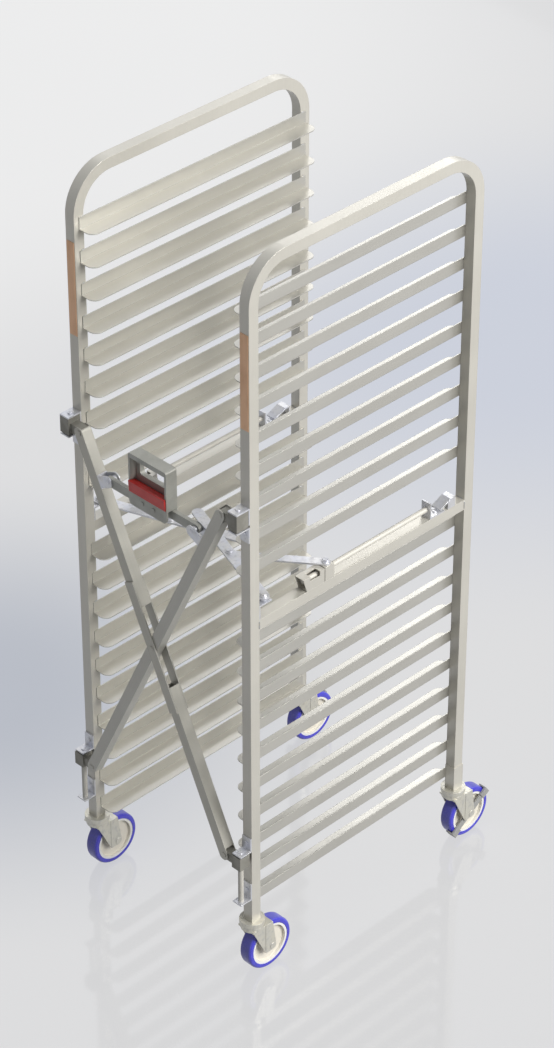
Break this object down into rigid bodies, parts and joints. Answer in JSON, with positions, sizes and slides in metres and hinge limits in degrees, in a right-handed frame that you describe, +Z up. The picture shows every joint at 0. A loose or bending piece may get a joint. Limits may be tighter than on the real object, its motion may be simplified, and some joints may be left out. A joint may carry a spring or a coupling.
{
  "type": "collapsible pan rack",
  "caption": "Tall bun-pan rack on casters whose two slide frames fold together on a front scissor released by a lift handle with a red trigger.",
  "frame": {"origin": "on the floor, at the middle of the rack's outline seen from above", "axes": "+Z up, +X from the scissor end to the open end, +Y to the left frame seen from the scissor end"},
  "size_m": [0.7856, 0.5486, 1.778],
  "materials": {
    "frame_metal": "satin",
    "zinc": "satin",
    "dark_metal": "satin",
    "block": "matte",
    "rod": "polished",
    "fastener": "satin",
    "copper": "satin",
    "red": "semi-gloss",
    "caster_metal": "satin",
    "tyre_blue": "matte",
    "hub_cream": "satin",
    "pad_grey": "matte"
  },
  "bodies": {
    "left_frame": {"left_frame_tube": "frame_metal", "left_mid_rail": "frame_metal", "left_slides_upper": "frame_metal", "left_slides_lower": "frame_metal", "left_copper_strip": "copper", "left_angle_brackets": "zinc", "left_pivot_block": "block", "left_guide_rods": "rod", "left_rail_housing": "frame_metal", "left_bracket_screws": "fastener", "left_caster_tops": "caster_metal", "left_back_shoe": "frame_metal"},
    "right_frame": {"right_frame_tube": "frame_metal", "right_mid_rail": "frame_metal", "right_slides_upper": "frame_metal", "right_slides_lower": "frame_metal", "right_copper_strip": "copper", "right_angle_brackets": "zinc", "right_pivot_block": "block", "right_guide_rods": "rod", "right_rail_housing": "frame_metal", "right_bracket_screws": "fastener", "right_caster_tops": "caster_metal", "right_back_shoe": "frame_metal"},
    "first_bar": {"first_bar_tubes": "frame_metal", "fork_plates": "frame_metal", "first_bar_pins": "fastener", "left_knuckle": "zinc"},
    "second_bar": {"second_bar_tube": "frame_metal", "second_bar_pins": "fastener", "right_knuckle": "zinc"},
    "left_lower_block": {"left_sliding_block": "block"},
    "left_toggle_link": {"left_link": "dark_metal"},
    "left_plate": {"left_cross_plate": "zinc", "left_plate_bolts": "fastener"},
    "left_plate_link": {"left_slider_link": "zinc"},
    "left_slider": {"left_rail_slider": "block"},
    "right_lower_block": {"right_sliding_block": "block"},
    "right_toggle_link": {"right_link": "dark_metal"},
    "right_plate": {"right_cross_plate": "zinc", "right_plate_bolts": "fastener"},
    "right_plate_link": {"right_slider_link": "zinc"},
    "right_slider": {"right_rail_slider": "block"},
    "handle": {"handle_frame": "dark_metal", "handle_studs": "fastener"},
    "trigger": {"trigger": "red"},
    "left_front_caster": {"left_front_fork": "caster_metal"},
    "left_front_wheel": {"left_front_tyre": "tyre_blue", "left_front_hub": "hub_cream"},
    "left_back_caster": {"left_back_fork": "caster_metal"},
    "left_back_wheel": {"left_back_tyre": "tyre_blue", "left_back_hub": "hub_cream"},
    "left_brake": {"left_back_brake": "pad_grey"},
    "right_front_caster": {"right_front_fork": "caster_metal"},
    "right_front_wheel": {"right_front_tyre": "tyre_blue", "right_front_hub": "hub_cream"},
    "right_back_caster": {"right_back_fork": "caster_metal"},
    "right_back_wheel": {"right_back_tyre": "tyre_blue", "right_back_hub": "hub_cream"},
    "right_brake": {"right_back_brake": "pad_grey"}
  },
  "joints": [
    {"name": "fold", "type": "hinge", "parent": "left_frame", "child": "first_bar", "pos_m": [-0.3739, 0.207, 1.201], "axis": [1, 0, 0], "range_deg": [0, 15.5]},
    {"name": "bar_crossing", "type": "hinge", "parent": "first_bar", "child": "second_bar", "pos_m": [-0.3739, 0, 0.76525], "axis": [1, 0, 0], "range_deg": [-31, 0]},
    {"name": "right_frame_pivot", "type": "hinge", "parent": "second_bar", "child": "right_frame", "pos_m": [-0.3739, -0.207, 1.201], "axis": [1, 0, 0], "range_deg": [0, 15.5]},
    {"name": "right_block_pivot", "type": "hinge", "parent": "first_bar", "child": "right_lower_block", "pos_m": [-0.3739, -0.207, 0.3295], "axis": [1, 0, 0], "range_deg": [-15.5, 0]},
    {"name": "left_block_pivot", "type": "hinge", "parent": "second_bar", "child": "left_lower_block", "pos_m": [-0.3739, 0.207, 0.3295], "axis": [1, 0, 0], "range_deg": [0, 15.5]},
    {"name": "left_plate_pivot", "type": "hinge", "parent": "left_frame", "child": "left_plate", "pos_m": [-0.3045, 0.2463, 0.976], "axis": [0, 0, 1], "range_deg": [0, 42.35]},
    {"name": "right_plate_pivot", "type": "hinge", "parent": "right_frame", "child": "right_plate", "pos_m": [-0.3045, -0.2463, 0.976], "axis": [0, 0, 1], "range_deg": [-42.35, 0]},
    {"name": "left_plate_link_pin", "type": "hinge", "parent": "left_plate", "child": "left_plate_link", "pos_m": [-0.24758, 0.08824, 0.976], "axis": [0, 0, 1], "range_deg": [-71.77, 0]},
    {"name": "right_plate_link_pin", "type": "hinge", "parent": "right_plate", "child": "right_plate_link", "pos_m": [-0.24758, -0.08824, 0.976], "axis": [0, 0, 1], "range_deg": [0, 71.77]},
    {"name": "left_slider_travel", "type": "slide", "parent": "left_frame", "child": "left_slider", "axis": [1, 0, 0], "range_m": [0, 0.15372]},
    {"name": "right_slider_travel", "type": "slide", "parent": "right_frame", "child": "right_slider", "axis": [1, 0, 0], "range_m": [0, 0.15372]},
    {"name": "left_link_pivot", "type": "hinge", "parent": "first_bar", "child": "left_toggle_link", "pos_m": [-0.3739, 0.12301, 1.12045], "axis": [1, 0, 0], "range_deg": [-101.48, 0]},
    {"name": "right_link_pivot", "type": "hinge", "parent": "second_bar", "child": "right_toggle_link", "pos_m": [-0.3739, -0.12301, 1.12045], "axis": [1, 0, 0], "range_deg": [0, 101.48]},
    {"name": "handle_pivot", "type": "hinge", "parent": "left_toggle_link", "child": "handle", "pos_m": [-0.3739, 0.0161, 1.12045], "axis": [1, 0, 0], "range_deg": [0, 85.98]},
    {"name": "trigger_squeeze", "type": "hinge", "parent": "handle", "child": "trigger", "pos_m": [-0.3849, 0, 1.15685], "axis": [0, -1, 0], "range_deg": [0, 12], "stiffness_Nm_per_rad": 1},
    {"name": "left_front_swivel", "type": "hinge", "parent": "left_frame", "child": "left_front_caster", "pos_m": [-0.3412, 0.2463, 0.131], "axis": [0, 0, 1], "continuous": true},
    {"name": "left_front_roll", "type": "hinge", "parent": "left_front_caster", "child": "left_front_wheel", "pos_m": [-0.3022, 0.2463, 0.0625], "axis": [0, 1, 0], "continuous": true},
    {"name": "left_back_swivel", "type": "hinge", "parent": "left_frame", "child": "left_back_caster", "pos_m": [0.2914, 0.2463, 0.131], "axis": [0, 0, 1], "continuous": true},
    {"name": "left_back_roll", "type": "hinge", "parent": "left_back_caster", "child": "left_back_wheel", "pos_m": [0.3304, 0.2463, 0.0625], "axis": [0, 1, 0], "continuous": true},
    {"name": "left_brake_press", "type": "hinge", "parent": "left_back_caster", "child": "left_brake", "pos_m": [0.3304, 0.2463, 0.0625], "axis": [0, 1, 0], "range_deg": [0, 14]},
    {"name": "right_front_swivel", "type": "hinge", "parent": "right_frame", "child": "right_front_caster", "pos_m": [-0.3412, -0.2463, 0.131], "axis": [0, 0, 1], "continuous": true},
    {"name": "right_front_roll", "type": "hinge", "parent": "right_front_caster", "child": "right_front_wheel", "pos_m": [-0.3022, -0.2463, 0.0625], "axis": [0, 1, 0], "continuous": true},
    {"name": "right_back_swivel", "type": "hinge", "parent": "right_frame", "child": "right_back_caster", "pos_m": [0.2914, -0.2463, 0.131], "axis": [0, 0, 1], "continuous": true},
    {"name": "right_back_roll", "type": "hinge", "parent": "right_back_caster", "child": "right_back_wheel", "pos_m": [0.3304, -0.2463, 0.0625], "axis": [0, 1, 0], "continuous": true},
    {"name": "right_brake_press", "type": "hinge", "parent": "right_back_caster", "child": "right_brake", "pos_m": [0.3304, -0.2463, 0.0625], "axis": [0, 1, 0], "range_deg": [0, 14]}
  ],
  "couplings": [
    {"joint": "bar_crossing", "follows": "fold", "ratio": -2},
    {"joint": "right_frame_pivot", "follows": "fold", "ratio": 1},
    {"joint": "right_block_pivot", "follows": "fold", "ratio": -1},
    {"joint": "left_block_pivot", "follows": "fold", "ratio": 1},
    {"joint": "left_plate_pivot", "follows": "fold", "ratio": 2.7315},
    {"joint": "right_plate_pivot", "follows": "fold", "ratio": -2.7315},
    {"joint": "left_plate_link_pin", "follows": "fold", "ratio": -4.6295},
    {"joint": "right_plate_link_pin", "follows": "fold", "ratio": 4.6295},
    {"joint": "left_slider_travel", "follows": "fold", "m_per_rad": 0.5682},
    {"joint": "right_slider_travel", "follows": "fold", "m_per_rad": 0.5682},
    {"joint": "left_link_pivot", "follows": "fold", "ratio": -6.5464},
    {"joint": "right_link_pivot", "follows": "fold", "ratio": 6.5464},
    {"joint": "handle_pivot", "follows": "fold", "ratio": 5.5464}
  ]
}
